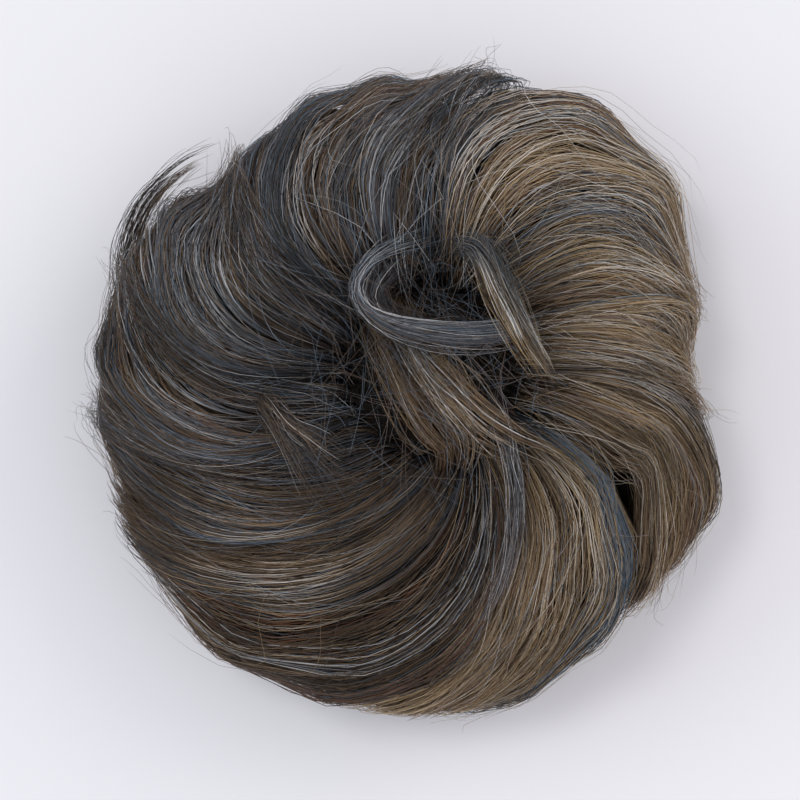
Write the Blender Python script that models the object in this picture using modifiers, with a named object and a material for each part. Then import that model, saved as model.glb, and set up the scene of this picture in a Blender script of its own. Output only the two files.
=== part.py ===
"""A top knot hairpiece: nine curls of false hair round an elastic ring, with loose locks across the middle.

The curls lie round one whorl centre. Each is a loft of (radius, height) sections between two seams, which
bend clockwise on their way out as the hair does. The raised edge of each curl is at its anticlockwise seam,
and its tail ducks down at the clockwise seam, so that the next curl stands proud of it.
"""

import math
from typing import NamedTuple

import bmesh
import bpy
from mathutils import Vector

MM = 0.001

# Driving dimensions in millimetres
WHORL_X = 6.5
WHORL_Y = 4.7
INNER_RADIUS = 21.0
CREST_RADIUS = 46.0
LIP_LOW = 33.0
LIP_HIGH = 40.0
RIM_HEIGHT = 24.0
RIM_BLUNT = 1.5
UNDERTURN = 16.0
EDGE_DROP = 4.0
TAIL_DROP = 9.0
FOLD_HEIGHT = 1.1
SEAM_GAP = 0.4
HOLLOW_RADIUS = 58.0
HOLLOW_SPREAD = 7.5

# The elastic ring, and the hollow of the curls round it
ELASTIC_RADIUS = 26.0
ELASTIC_THICKNESS = 5.5
ELASTIC_HEIGHT = 8.0
ELASTIC_CLEARANCE = 0.35
SHELF_STEP = 0.4
SHELF_RISE = 2.0
WALL_RADIUS = 24.2
WALL_DRAFT = 0.5
WALL_TOP = 28.5
MIDWAY_RADIUS = 37.0

# The tangle of hair that closes the middle, and the clearance that touching pieces keep
TANGLE_LOW = 30.0
TANGLE_THICKNESS = 4.0
TANGLE_DISH = 4.0
CLEARANCE = 0.35

# How finely the faceted solids are cut
COLUMN_DEGREES = 3.6
OUTER_STATIONS = 6
TANGLE_STEPS = 32
LOCK_SAMPLES = 15
LOCK_SIDES = 12


class Seam(NamedTuple):
    """The direction of a seam in degrees at three radii, and how wide it gapes in its outer part."""

    inner: float
    middle: float
    rim: float
    hollow: float


class Curl(NamedTuple):
    """One curl between two seams: its rim radii, crest height, number of folds and colour."""

    name: str
    raised_seam: str
    tail_seam: str
    rim_first: float
    rim_middle: float
    rim_last: float
    height: float
    folds: int
    colour: str


class Lock(NamedTuple):
    """One loose lock: its width, thickness, path points from the whorl centre, and colour."""

    name: str
    width: float
    thickness: float
    path: tuple
    colour: str


SEAM_RADII = (22.0, 45.0, 75.0)

SEAMS = {
    "east": Seam(inner=1, middle=-1, rim=-7, hollow=0),
    "north_east": Seam(inner=30, middle=21, rim=16, hollow=0),
    "north": Seam(inner=86, middle=88, rim=80, hollow=0),
    "north_west": Seam(inner=139, middle=141, rim=127, hollow=0),
    "west": Seam(inner=176, middle=178, rim=166, hollow=0),
    "south_west": Seam(inner=205, middle=204, rim=194, hollow=0),
    "south": Seam(inner=252, middle=233, rim=216, hollow=0),
    "south_east": Seam(inner=303, middle=291, rim=275, hollow=0),
    "east_south_east": Seam(inner=337, middle=333, rim=316, hollow=7),
}

CURLS = (
    Curl("curl_top_right", "north", "north_east", 71.0, 74.5, 65.5, 60.0, 3, "6E5F4E"),
    Curl("curl_right", "north_east", "east", 65.0, 63.0, 63.5, 56.0, 1, "64564A"),
    Curl("curl_lower_right_outer", "east", "east_south_east", 67.0, 73.5, 74.0, 55.0, 2, "6B5D4B"),
    Curl("curl_lower_right", "east_south_east", "south_east", 75.5, 80.0, 83.0, 61.0, 3, "66583F"),
    Curl("curl_bottom", "south_east", "south", 82.5, 82.0, 82.5, 58.0, 3, "4B443E"),
    Curl("curl_lower_left", "south", "south_west", 82.0, 81.0, 80.5, 54.0, 1, "4A413B"),
    Curl("curl_left_lower", "south_west", "west", 81.0, 80.5, 79.5, 60.0, 2, "4D4946"),
    Curl("curl_left_upper", "west", "north_west", 79.5, 80.5, 69.5, 61.0, 2, "4C4B4D"),
    Curl("curl_top_left", "north_west", "north", 70.5, 73.0, 70.5, 62.0, 3, "55504B"),
)

LOCKS = (
    Lock("loop_lock", 8.0, 6.0, (
        (2, 38, 45), (-5, 31, 55), (-14, 27, 58), (-19, 18, 58), (-11, 10, 56),
        (2, 6, 54), (14, 5, 52), (25, 6, 48), (32, 8, 44),
    ), "6A7279"),
    Lock("tip_lock", 12.0, 5.0, (
        (12, 38, 45), (13, 28, 56), (17, 18, 59), (22, 9, 59.5), (28, -1, 59), (33, -10, 58),
    ), "85705A"),
    Lock("falling_lock", 19.0, 7.0, (
        (-20, 24, 42), (-13, 12, 47), (-6, 0, 47.5), (0, -12, 47), (5, -23, 46), (8, -32, 44),
    ), "75685C"),
    Lock("vertical_lock", 9.0, 4.0, (
        (17, -9, 45), (18, -18, 51), (18.5, -28, 57.5), (17, -40, 60), (14, -52, 58), (10, -62, 52),
    ), "75727A"),
)

TANGLE_COLOUR = "231E1B"
ELASTIC_COLOUR = "1C1A19"
HAIR_ROUGHNESS = 0.45
ELASTIC_ROUGHNESS = 0.8


def clear_scene():
    """Remove every object, so that the script gives the same scene each run."""
    for item in list(bpy.data.objects):
        bpy.data.objects.remove(item, do_unlink=True)


def new_collection(name):
    """Make a collection in the scene."""
    collection = bpy.data.collections.new(name)
    bpy.context.scene.collection.children.link(collection)
    return collection


def linear(hex_colour):
    """Turn an sRGB hex colour into linear RGBA."""
    channels = [int(hex_colour[i : i + 2], 16) / 255 for i in (0, 2, 4)]
    return [c / 12.92 if c <= 0.04045 else ((c + 0.055) / 1.055) ** 2.4 for c in channels] + [1.0]


def dress(item, hex_colour, roughness):
    """Give an object a material of its own."""
    material = bpy.data.materials.new(item.name)
    material.use_nodes = True
    shader = material.node_tree.nodes["Principled BSDF"]
    shader.inputs["Base Color"].default_value = linear(hex_colour)
    shader.inputs["Roughness"].default_value = roughness
    shader.inputs["Metallic"].default_value = 0.0
    item.data.materials.append(material)


def quadratic(x, knots, values):
    """Read the parabola through three knots at x."""
    total = 0.0
    for i, value in enumerate(values):
        others = [k for j, k in enumerate(knots) if j != i]
        total += value * math.prod((x - k) / (knots[i] - k) for k in others)
    return total


def seam_angle(seam, radius):
    """The direction of a seam at a radius, in degrees."""
    return quadratic(radius, SEAM_RADII, seam[:3])


def seam_half_width(seam, radius):
    """Half the width of a seam at a radius, in degrees, measured square to the seam's own slant."""
    bulge = seam.hollow * math.exp(-(((radius - HOLLOW_RADIUS) / HOLLOW_SPREAD) ** 2))
    slope = math.radians(seam_angle(seam, radius + 0.5) - seam_angle(seam, radius - 0.5))
    slant = math.hypot(1.0, radius * slope)
    return math.degrees((SEAM_GAP + bulge) / 2 * slant / radius)


def curl_angle(curl, s, radius):
    """The direction in degrees of a curl's flow line s at a radius; s is 0 at the raised seam, 1 at the tail."""
    raised, tail = SEAMS[curl.raised_seam], SEAMS[curl.tail_seam]
    first = seam_angle(raised, radius) - seam_half_width(raised, radius)
    last = seam_angle(tail, radius) + seam_half_width(tail, radius)
    if first < last:
        first += 360
    return first + (last - first) * s


def section(curl, s):
    """The (radius, low, high) stations of a curl's section at s, from the inner lip out to the rim."""
    fold = FOLD_HEIGHT * math.cos(2 * math.pi * curl.folds * s) * math.sin(math.pi * s)
    drop = EDGE_DROP * (1 - s) ** 6 + TAIL_DROP * s**2
    crest = curl.height - drop + fold
    rim = quadratic(s, (0, 0.5, 1), (curl.rim_first, curl.rim_middle, curl.rim_last)) - drop / 6 + fold
    flat_edge = rim - UNDERTURN
    hollow_wall = ELASTIC_RADIUS + ELASTIC_THICKNESS / 2 + ELASTIC_CLEARANCE
    shelf = ELASTIC_HEIGHT + ELASTIC_THICKNESS / 2 + ELASTIC_CLEARANCE

    def inner_high(radius):
        reach = (CREST_RADIUS - radius) / (CREST_RADIUS - INNER_RADIUS)
        return LIP_HIGH + (crest - LIP_HIGH) * math.sqrt(max(0.0, 1 - reach**2))

    stations = [
        (INNER_RADIUS, LIP_LOW, LIP_HIGH),
        (WALL_RADIUS - WALL_DRAFT, WALL_TOP, inner_high(WALL_RADIUS - WALL_DRAFT)),
        (WALL_RADIUS, shelf + SHELF_RISE, inner_high(WALL_RADIUS)),
        (hollow_wall, shelf, inner_high(hollow_wall)),
        (hollow_wall + SHELF_STEP, 0.0, inner_high(hollow_wall + SHELF_STEP)),
        (MIDWAY_RADIUS, 0.0, inner_high(MIDWAY_RADIUS)),
        (CREST_RADIUS, 0.0, crest),
    ]
    for i in range(1, OUTER_STATIONS + 1):
        turn = math.pi / 2 * i / OUTER_STATIONS
        radius = CREST_RADIUS + (rim - CREST_RADIUS) * math.sin(turn)
        high = RIM_HEIGHT + (crest - RIM_HEIGHT) * math.cos(turn)
        inward = max(0.0, min(1.0, (radius - flat_edge) / UNDERTURN))
        low = RIM_HEIGHT * (1 - math.sqrt(1 - inward**2))
        stations.append((radius, low, high))
    radius, low, high = stations[-1]
    stations[-1] = (radius, low - RIM_BLUNT, high + RIM_BLUNT)
    return stations


def ring_point(radius, degrees, height):
    """A point in metres from its radius, direction and height round the whorl centre."""
    turn = math.radians(degrees)
    x = WHORL_X + radius * math.cos(turn)
    y = WHORL_Y + radius * math.sin(turn)
    return Vector((x, y, height)) * MM


def curl_columns(curl):
    """The sections of a curl as (low points, high points), from the raised seam to the tail."""
    span = curl_angle(curl, 0, CREST_RADIUS) - curl_angle(curl, 1, CREST_RADIUS)
    count = max(7, round(span / COLUMN_DEGREES))
    columns = []
    for j in range(count + 1):
        s = j / count
        stations = section(curl, s)
        lows = [ring_point(r, curl_angle(curl, s, r), low) for r, low, _ in stations]
        highs = [ring_point(r, curl_angle(curl, s, r), high) for r, _, high in stations]
        columns.append((lows, highs))
    return columns


def loft(name, columns, closed, collection):
    """Loft a solid through columns of low and high points; a closed one joins its last column to its first."""
    shape = bmesh.new()
    rows = [([shape.verts.new(p) for p in lows], [shape.verts.new(p) for p in highs]) for lows, highs in columns]
    last = len(rows[0][0]) - 1
    pairs = list(zip(rows, rows[1:]))
    if closed:
        pairs.append((rows[-1], rows[0]))
    for (low_a, high_a), (low_b, high_b) in pairs:
        for k in range(last):
            shape.faces.new((high_a[k], high_a[k + 1], high_b[k + 1], high_b[k]))
            shape.faces.new((low_a[k], low_b[k], low_b[k + 1], low_a[k + 1]))
        shape.faces.new((low_a[0], high_a[0], high_b[0], low_b[0]))
        shape.faces.new((low_a[last], low_b[last], high_b[last], high_a[last]))
    if not closed:
        for lows, highs in (rows[0], rows[-1]):
            for k in range(last):
                shape.faces.new((lows[k], lows[k + 1], highs[k + 1], highs[k]))
    bmesh.ops.recalc_face_normals(shape, faces=shape.faces)
    mesh = bpy.data.meshes.new(name)
    shape.to_mesh(mesh)
    shape.free()
    mesh.shade_smooth()
    mesh.set_sharp_from_angle(angle=math.radians(50))
    item = bpy.data.objects.new(name, mesh)
    collection.objects.link(item)
    return item


def add_elastic(parts):
    """Add the elastic ring, low in the hollow of the curls."""
    bpy.ops.mesh.primitive_torus_add(
        major_segments=40,
        minor_segments=10,
        major_radius=ELASTIC_RADIUS * MM,
        minor_radius=ELASTIC_THICKNESS / 2 * MM,
        location=Vector((WHORL_X, WHORL_Y, ELASTIC_HEIGHT)) * MM,
    )
    ring = bpy.context.object
    ring.name = "elastic_band"
    ring.data.shade_smooth()
    for owner in list(ring.users_collection):
        owner.objects.unlink(ring)
    parts.objects.link(ring)
    dress(ring, ELASTIC_COLOUR, ELASTIC_ROUGHNESS)


def add_curls(parts):
    """Add the nine curls, each from its own row."""
    for curl in CURLS:
        item = loft(curl.name, curl_columns(curl), False, parts)
        dress(item, curl.colour, HAIR_ROUGHNESS)


def add_crown_cutter(cutters):
    """Add the whole ring of curls as one body, swollen by the clearance, to cut the locks that lie on it."""
    columns = []
    for curl in sorted(CURLS, key=lambda row: -seam_angle(SEAMS[row.raised_seam], CREST_RADIUS)):
        columns += curl_columns(curl)
    crown = loft("crown_cutter", columns, True, cutters)
    swell = crown.modifiers.new("clearance", "DISPLACE")
    swell.strength = (CLEARANCE + 0.1) * MM
    swell.mid_level = 0.0
    crown.hide_render = True
    crown.display_type = "WIRE"
    return crown


def add_tangle(parts):
    """Add the dished tangle of hair between the curls' inner lips."""
    edge = INNER_RADIUS - CLEARANCE
    top = TANGLE_LOW + TANGLE_THICKNESS
    profile = (
        (0.0, top),
        (edge * 0.6, top + TANGLE_DISH * 0.3),
        (edge, top + TANGLE_DISH),
        (edge, TANGLE_LOW + TANGLE_DISH),
        (edge * 0.6, TANGLE_LOW + TANGLE_DISH * 0.3),
        (0.0, TANGLE_LOW),
    )
    mesh = bpy.data.meshes.new("core_tangle")
    points = [Vector((radius, 0, height)) * MM for radius, height in profile]
    mesh.from_pydata(points, [(i, i + 1) for i in range(len(points) - 1)], [])
    tangle = bpy.data.objects.new("core_tangle", mesh)
    tangle.location = Vector((WHORL_X, WHORL_Y, 0)) * MM
    parts.objects.link(tangle)
    turn = tangle.modifiers.new("turn", "SCREW")
    turn.steps = TANGLE_STEPS
    turn.render_steps = TANGLE_STEPS
    turn.use_merge_vertices = True
    turn.merge_threshold = 0.0001
    dress(tangle, TANGLE_COLOUR, HAIR_ROUGHNESS)


def smooth_path(points, samples):
    """Sample a Catmull-Rom curve through the points, evenly in its parameter."""
    knots = [Vector(p) for p in points]
    knots = [2 * knots[0] - knots[1], *knots, 2 * knots[-1] - knots[-2]]
    spans = len(points) - 1
    found = []
    for i in range(samples):
        along = min(i / (samples - 1) * spans, spans - 1e-6)
        at = int(along)
        t = along - at
        a, b, c, d = knots[at : at + 4]
        found.append(0.5 * (2 * b + (c - a) * t + (2 * a - 5 * b + 4 * c - d) * t**2 + (3 * b - a - 3 * c + d) * t**3))
    return found


def lock_outline(lock, cutters):
    """The flattened oval that a lock's section has, as a closed flat curve."""
    data = bpy.data.curves.new(lock.name + "_oval", "CURVE")
    data.dimensions = "2D"
    spline = data.splines.new("POLY")
    spline.points.add(LOCK_SIDES - 1)
    spline.use_cyclic_u = True
    for i, point in enumerate(spline.points):
        turn = 2 * math.pi * i / LOCK_SIDES
        across = lock.width / 2 * math.cos(turn)
        up = lock.thickness / 2 * math.sin(turn)
        point.co = (across * MM, up * MM, 0, 1)
    outline = bpy.data.objects.new(data.name, data)
    outline.hide_render = True
    outline.display_type = "WIRE"
    cutters.objects.link(outline)
    return outline


def add_lock(lock, crown, parts, cutters):
    """Sweep a lock's oval along its path, tapered to both ends, and cut it where the curls carry it."""
    data = bpy.data.curves.new(lock.name, "CURVE")
    data.dimensions = "3D"
    data.twist_mode = "Z_UP"
    data.bevel_mode = "OBJECT"
    data.bevel_object = lock_outline(lock, cutters)
    data.use_fill_caps = True
    samples = smooth_path(lock.path, LOCK_SAMPLES)
    spline = data.splines.new("POLY")
    spline.points.add(LOCK_SAMPLES - 1)
    for i, (point, place) in enumerate(zip(spline.points, samples)):
        at = (place + Vector((WHORL_X, WHORL_Y, 0))) * MM
        point.co = (*at, 1)
        point.radius = 0.45 + 0.55 * math.sin(math.pi * i / (LOCK_SAMPLES - 1)) ** 0.5
    swept = bpy.data.objects.new(lock.name + "_sweep", data)
    parts.objects.link(swept)
    bpy.context.view_layer.update()

    graph = bpy.context.evaluated_depsgraph_get()
    mesh = bpy.data.meshes.new_from_object(swept.evaluated_get(graph))
    shape = bmesh.new()
    shape.from_mesh(mesh)
    bmesh.ops.remove_doubles(shape, verts=shape.verts, dist=0.00002)
    bmesh.ops.recalc_face_normals(shape, faces=shape.faces)
    shape.to_mesh(mesh)
    shape.free()
    item = bpy.data.objects.new(lock.name, mesh)
    item.matrix_world = swept.matrix_world
    bpy.data.objects.remove(swept, do_unlink=True)
    parts.objects.link(item)
    mesh.materials.clear()
    dress(item, lock.colour, HAIR_ROUGHNESS)
    cut = item.modifiers.new("seat", "BOOLEAN")
    cut.operation = "DIFFERENCE"
    cut.object = crown
    return item


def main():
    """Build the hairpiece."""
    clear_scene()
    parts = new_collection("top_knot_hairpiece")
    cutters = new_collection("cutters")
    add_elastic(parts)
    add_curls(parts)
    add_tangle(parts)
    crown = add_crown_cutter(cutters)
    for lock in LOCKS:
        add_lock(lock, crown, parts, cutters)


main()
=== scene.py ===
"""The looks of a top knot hairpiece: fans of false hair round an elastic ring, lying on a pale floor.

The hair is modelled fibre by fibre. Every curl of the frame becomes an inner body, dark as painted shade,
and a fan of fine tapered fibres, gathered into wisps, that leave the middle, go over the crest and wind
clockwise along the rim.
"""

from __future__ import annotations

import logging
import math
from dataclasses import dataclass, field, fields
from enum import Enum

import bmesh
import bpy
import numpy as np
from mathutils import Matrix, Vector


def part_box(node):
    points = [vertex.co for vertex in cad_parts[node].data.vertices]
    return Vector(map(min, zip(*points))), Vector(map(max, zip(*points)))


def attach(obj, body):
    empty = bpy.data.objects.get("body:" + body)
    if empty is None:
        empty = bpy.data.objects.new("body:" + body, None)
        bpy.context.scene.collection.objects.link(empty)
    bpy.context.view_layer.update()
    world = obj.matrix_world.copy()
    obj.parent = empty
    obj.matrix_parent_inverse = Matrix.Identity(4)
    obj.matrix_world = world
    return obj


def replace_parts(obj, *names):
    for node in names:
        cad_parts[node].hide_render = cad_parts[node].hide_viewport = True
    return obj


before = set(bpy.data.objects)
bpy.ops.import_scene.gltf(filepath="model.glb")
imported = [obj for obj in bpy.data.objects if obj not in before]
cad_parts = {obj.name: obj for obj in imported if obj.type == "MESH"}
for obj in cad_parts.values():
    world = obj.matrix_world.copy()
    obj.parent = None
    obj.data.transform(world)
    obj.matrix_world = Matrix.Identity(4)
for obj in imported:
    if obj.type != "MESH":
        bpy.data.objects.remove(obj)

logging.basicConfig(level=logging.INFO, format="%(message)s")
log = logging.getLogger("hairpiece")

MM = 0.001
BODY = "root"

# The form of the curls in millimetres, as the frame has it
INNER_RADIUS = 21.0
CREST_RADIUS = 46.0
LIP_HEIGHT = 40.0
RIM_HEIGHT = 24.0
UNDERTURN = 16.0
EDGE_DROP = 4.0
TAIL_DROP = 9.0
FOLD_HEIGHT = 1.1
SEAM_RADII = (22.0, 45.0, 75.0)
HOLLOW_RADIUS = 54.5
HOLLOW_SPREAD = 5.5

# Roots that start before the lip lie this far in and down for each unit of the section
ROOT_REACH = 20.0
ROOT_FALL = 20.0

# Where the crest and the rim lie along a section, which runs from 0 at the inner lip to 1 under the rim
AT_CREST = 0.30
AT_RIM = 0.75

# Fibres are drawn about twice as thick as real ones, so that they show
FIBRE_RADIUS = 0.105
FINE_RADIUS = 0.065
FIBRE_SIDES = 3

# The share of a fan's wisps that make the mass under its top layer, and the stations of both kinds
MASS_SHARE = 0.66
MASS_STATIONS = 13
EDGE_STATIONS = 21

# How far the wisps' middles lie outside the curl's surface: top layer, mass, and the mass low on the rim
EDGE_LAYER = (-1.4, -0.3)
MASS_LAYER = (-3.0, -1.2)
LOW_LAYER = (-2.8, -1.4)
TAIL_DIVE = 1.6
CROWN_LIFT = 1.3

# Shares of one: mass wisps that end low on the rim, fibres that stray, fibres that take a dye by chance,
# and wisps at the raised edge that take the edge's dye
LOW_SHARE = 0.36
FREE_SHARE = 0.12
MIXED_SHARE = 0.3
EDGE_SHARE = 0.7

# Tone runs from 0, dark, to 1: how it varies from wisp to wisp and fibre to fibre, the most that it reaches,
# the light over the crest with its place and width on the section, and the shade of the middle
WISP_TONES = 0.14
FIBRE_TONES = 0.075
TONE_LIMIT = 0.86
SHEEN = 0.24
SHEEN_PLACE = 0.42
SHEEN_WIDTH = 0.12
MIDDLE_SHADE = 0.34

# How far the tips of single hairs may stand off a fan: the veil on it, near ones and far ones
VEIL_AWAY = 0.5
NEAR_AWAY = 3.0
FAR_AWAY = 8.5

# The inner body lies this far under the surface, more at its raised seam, and nothing goes below the gap
BODY_DEPTH = 4.3
SEAM_DEPTH = 1.5
FLOOR_GAP = 0.4

Array = np.ndarray
Socket = bpy.types.NodeSocket
Colour = tuple | Socket


class Family(Enum):
    """The colour families that the fibres are blended from."""

    SLATE = "slate"
    UMBER = "umber"
    TAUPE = "taupe"
    SILVER = "silver"
    HONEY = "honey"
    SHADOW = "shadow"


def linear(code: str) -> tuple[float, float, float, float]:
    """Turn an sRGB hex colour into linear light.

    Args:
        code: six hex digits.

    Returns:
        Red, green, blue and an alpha of one.
    """
    parts = [int(code[i : i + 2], 16) / 255 for i in (0, 2, 4)]
    return (*[c / 12.92 if c <= 0.04045 else ((c + 0.055) / 1.055) ** 2.4 for c in parts], 1.0)


class Paint:
    """A new material, with one short call for each kind of node that the finishes share."""

    def __init__(self, name: str) -> None:
        """Start the material.

        Args:
            name: its name.
        """
        self.material = bpy.data.materials.new(name)
        self.material.use_nodes = True
        self.tree = self.material.node_tree
        self.shader = self.tree.nodes["Principled BSDF"]

    def add(self, kind: str, settings: dict, inputs: dict) -> bpy.types.Node:
        """Add a node, with its properties set and its sockets filled or linked.

        Args:
            kind: the node's type.
            settings: property names and their values.
            inputs: socket names or numbers, each with a value or with the output that feeds it.

        Returns:
            The new node.
        """
        node = self.tree.nodes.new(kind)
        for name, value in settings.items():
            setattr(node, name, value)
        for name, value in inputs.items():
            if isinstance(value, Socket):
                self.tree.links.new(value, node.inputs[name])
            else:
                node.inputs[name].default_value = value
        return node

    def attribute(self, name: str) -> Socket:
        """Read the vector that each point carries under a name."""
        return self.add("ShaderNodeAttribute", {"attribute_name": name}, {}).outputs["Vector"]

    def parts(self, vector: Socket) -> bpy.types.bpy_prop_collection:
        """Split a vector into its three parts."""
        return self.add("ShaderNodeSeparateXYZ", {}, {0: vector}).outputs

    def noise(self, scale: float, vector: Socket | None = None) -> Socket:
        """Make soft noise, read at a vector or else at the place on the object."""
        if vector is None:
            vector = self.add("ShaderNodeTexCoord", {}, {}).outputs["Object"]
        inputs = {"Vector": vector, "Scale": scale, "Detail": 3.0}
        return self.add("ShaderNodeTexNoise", {}, inputs).outputs[0]

    def ramp(
        self, value: Socket, low: float, high: float, ends: tuple = (0.0, 1.0), kind: str = "LINEAR"
    ) -> Socket:
        """Map the values from low to high onto the way between two ends, and no further."""
        inputs = {0: value, 1: low, 2: high, 3: ends[0], 4: ends[1]}
        return self.add("ShaderNodeMapRange", {"interpolation_type": kind}, inputs).outputs[0]

    def mix(self, share: Socket | float, first: Colour, second: Colour, blend: str = "MIX") -> Socket:
        """Mix two colours, with a share of the second from 0 to 1."""
        settings = {"data_type": "RGBA", "blend_type": blend}
        return self.add("ShaderNodeMix", settings, {0: share, 6: first, 7: second}).outputs[2]

    def relief(self, height: Socket, strength: float, depth: float) -> None:
        """Let a pattern stand out by a depth in millimetres."""
        inputs = {"Height": height, "Strength": strength, "Distance": depth * MM}
        self.tree.links.new(self.add("ShaderNodeBump", {}, inputs).outputs[0], self.shader.inputs["Normal"])

    def shine(self, roughness: float, specular: float) -> None:
        """Set how the surface takes the light."""
        self.shader.inputs["Roughness"].default_value = roughness
        self.shader.inputs["Specular IOR Level"].default_value = specular


def meshed(shape: bmesh.types.BMesh, name: str) -> bpy.types.Mesh:
    """Turn a finished shape into a mesh, and free the shape."""
    mesh = bpy.data.meshes.new(name)
    shape.to_mesh(mesh)
    shape.free()
    return mesh


def unit(vectors: Array) -> Array:
    """Scale vectors to length one along the last axis."""
    return vectors / np.maximum(np.linalg.norm(vectors, axis=-1, keepdims=True), 1e-12)


def smooth_step(x: Array) -> Array:
    """Ease from 0 to 1 between 0 and 1."""
    x = np.clip(x, 0, 1)
    return x * x * (3 - 2 * x)


def parabola(x: Array, knots: tuple, values: tuple) -> Array:
    """Read the parabola through three knots.

    Args:
        x: where to read it.
        knots: the three places.
        values: the value at each place.

    Returns:
        The values at x.
    """
    total = 0.0
    for i, value in enumerate(values):
        term = value
        for j, knot in enumerate(knots):
            if j != i:
                term = term * (x - knot) / (knots[i] - knot)
        total = total + term
    return total


def spline(points: Array, samples: Array) -> Array:
    """Read a Catmull-Rom curve through points.

    Args:
        points: the points, one row each.
        samples: places from 0 at the first point to 1 at the last.

    Returns:
        One row for each sample.
    """
    points = np.asarray(points, float)
    knots = np.vstack([2 * points[0] - points[1], points, 2 * points[-1] - points[-2]])
    along = np.clip(samples, 0, 1 - 1e-9) * (len(points) - 1)
    at = along.astype(int)
    t = (along - at)[..., None]
    a, b, c, d = (knots[at + i] for i in range(4))
    return 0.5 * (2 * b + (c - a) * t + (2 * a - 5 * b + 4 * c - d) * t**2 + (3 * b - a - 3 * c + d) * t**3)


@dataclass(frozen=True)
class Finish:
    """What a piece is made of: a material, the record's slot for it, and how it takes the light."""

    name: str
    slot: str
    roughness: float = field(kw_only=True)
    specular: float = field(kw_only=True)

    def material(self) -> bpy.types.Material:
        """Build the material, or find the one that is there.

        Returns:
            The material, shared by all pieces of this finish.
        """
        if self.name in bpy.data.materials:
            return bpy.data.materials[self.name]
        paint = Paint(self.name)
        paint.tree.links.new(self.colour(paint), paint.shader.inputs["Base Color"])
        paint.shine(self.roughness, self.specular)
        return paint.material

    def colour(self, paint: Paint) -> Socket:
        """Add the nodes that colour the material, which each finish does in its own way."""
        raise NotImplementedError


@dataclass(frozen=True)
class HairFinish(Finish):
    """Heat-set synthetic fibre, extruded and dyed: smooth, so each fibre has a long thin glint.

    The fibre attribute carries tone, accent and the place along the fibre. Tone picks the colour between the
    five stops, accent mixes in a second dye, and the roots are darkened with painted shade.
    """

    dark: str
    deep: str
    middle: str
    light: str
    glint: str
    accent: str
    roughness: float = field(default=0.48, kw_only=True)
    specular: float = field(default=0.3, kw_only=True)
    patch_mm: float = 22.0
    patch_levels: tuple[float, float] = (0.7, 1.28)
    root_level: float = 0.22
    root_reach: float = 0.3

    def colour(self, paint: Paint) -> Socket:
        """Add the dyes, the painted shade at the roots and the broad patches of tone."""
        tone, accent, along = paint.parts(paint.attribute("fibre"))
        tones = paint.add("ShaderNodeValToRGB", {}, {0: tone})
        ramp = tones.color_ramp
        stops = (self.dark, self.deep, self.middle, self.light, self.glint)
        for i, code in enumerate(stops):
            place = i / (len(stops) - 1)
            stop = ramp.elements[i] if i < 1 else ramp.elements.new(place)
            stop.position = place
            stop.color = linear(code)
        ramp.elements.remove(ramp.elements[-1])
        dyed = paint.mix(accent, tones.outputs[0], linear(self.accent))
        # Painted shade: each fibre darker towards its root, which lies in the depth
        root = paint.ramp(along, 0.0, self.root_reach, (self.root_level, 1.0), "SMOOTHSTEP")
        patches = paint.ramp(paint.noise(1 / (self.patch_mm * MM)), 0.3, 0.7, self.patch_levels)
        level = paint.add("ShaderNodeMath", {"operation": "MULTIPLY"}, {0: root, 1: patches}).outputs[0]
        grey = paint.add("ShaderNodeCombineColor", {}, {0: level, 1: level, 2: level}).outputs[0]
        return paint.mix(1.0, dyed, grey, "MULTIPLY")


@dataclass(frozen=True)
class PaintedShadeFinish(Finish):
    """The matted hair inside a curl, seen only in the gaps: painted shade, dark with fine streaks along the
    flow.

    Low on the rim, where the gaps are wide and light comes in from the side, the streaks are painted paler.
    """

    name: str = "painted_shade_fibre"
    slot: str = "hair_dark"
    roughness: float = field(default=0.8, kw_only=True)
    specular: float = field(default=0.1, kw_only=True)
    # Near black: painted shade of the depth between the fibres
    dark: str = "0E0C0B"
    light: str = "3A322C"
    # Painted light: the paler colour of the streaks low on the rim
    rim: str = "7A6855"
    streak_mm: float = 0.5
    rim_light_from: float = 54.0
    rim_light_to: float = 72.0

    def colour(self, paint: Paint) -> Socket:
        """Add the streaks, as colour and as relief."""
        weft = paint.attribute("weft")
        stretch = {"Vector": weft, "Scale": (1 / self.streak_mm, 0.03, 0.5)}
        streaks = paint.add("ShaderNodeMapping", {}, stretch).outputs[0]
        level = paint.ramp(paint.noise(1.0, streaks), 0.35, 0.7)
        # Painted light: the streaks turn paler towards the rim; elsewhere the body's dark is painted shade
        outer = paint.ramp(paint.parts(weft)[1], self.rim_light_from, self.rim_light_to, kind="SMOOTHSTEP")
        pale = paint.mix(outer, linear(self.light), linear(self.rim))
        paint.relief(level, 0.6, 0.2)
        return paint.mix(level, linear(self.dark), pale)


@dataclass(frozen=True)
class BraidedFinish(Finish):
    """The elastic's cover, braided from dull nylon yarn: matt black-brown, a little paler on the ribs."""

    name: str = "braided_nylon_cover"
    slot: str = "elastic"
    roughness: float = field(default=0.85, kw_only=True)
    specular: float = field(default=0.15, kw_only=True)
    low: str = "0F0D0D"
    high: str = "37322F"
    yarn_mm: float = 0.6

    def colour(self, paint: Paint) -> Socket:
        """Add the yarn, as colour and as relief."""
        level = paint.ramp(paint.noise(1 / (self.yarn_mm * MM)), 0.35, 0.65)
        paint.relief(level, 0.5, 0.1)
        return paint.mix(level, linear(self.low), linear(self.high))


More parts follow.
